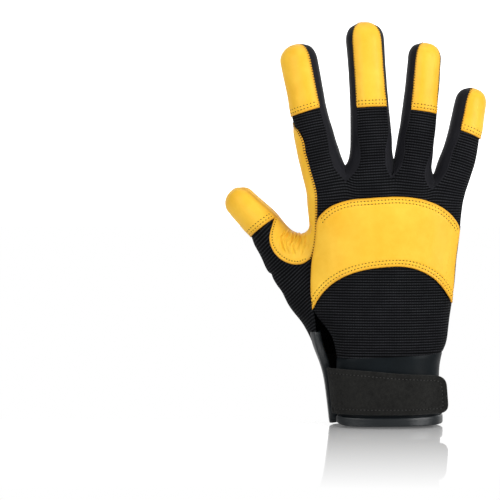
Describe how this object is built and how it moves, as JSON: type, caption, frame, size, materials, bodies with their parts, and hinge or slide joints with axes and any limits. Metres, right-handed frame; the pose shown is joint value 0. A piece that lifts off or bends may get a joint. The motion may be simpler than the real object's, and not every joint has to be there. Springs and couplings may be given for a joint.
{
  "type": "gardening glove",
  "caption": "Right-hand work glove filled as if worn: yellow leather palm, fingertips and knuckle patch, ribbed black back, side walls, cuff with wrist strap and pull tab.",
  "frame": {"origin": "centre of the wrist opening at the level of the cuff's hem", "axes": "+Z from the cuff to the fingertips, -Y out of the back of the hand, -X towards the thumb"},
  "size_m": [0.1608, 0.0539, 0.2472],
  "materials": {
    "leather": "smooth grain, softly lit, satin",
    "knit": "finely ribbed, matt",
    "side_cloth": "smooth, matt",
    "cuff_cloth": "fine weave, matt",
    "cuff_band": "smooth, slightly shiny",
    "binding": "smooth folded tape, slightly shiny",
    "strap": "fuzzy felt, matt"
  },
  "bodies": {
    "root": {"palm_leather": "leather", "index_gusset": "leather", "tip_cap_thumb": "leather", "tip_cap_index": "leather", "tip_cap_middle": "leather", "tip_cap_ring": "leather", "tip_cap_little": "leather", "knuckle_patch": "leather", "pull_tab": "leather", "back_knit": "knit", "thumb_knit": "knit", "side_wall_index_middle": "side_cloth", "side_wall_middle_ring": "side_cloth", "side_wall_ring_little": "side_cloth", "cuff_palm": "cuff_cloth", "cuff_back": "cuff_band", "hem_binding": "binding", "wrist_strap": "strap"}
  },
  "joints": []
}
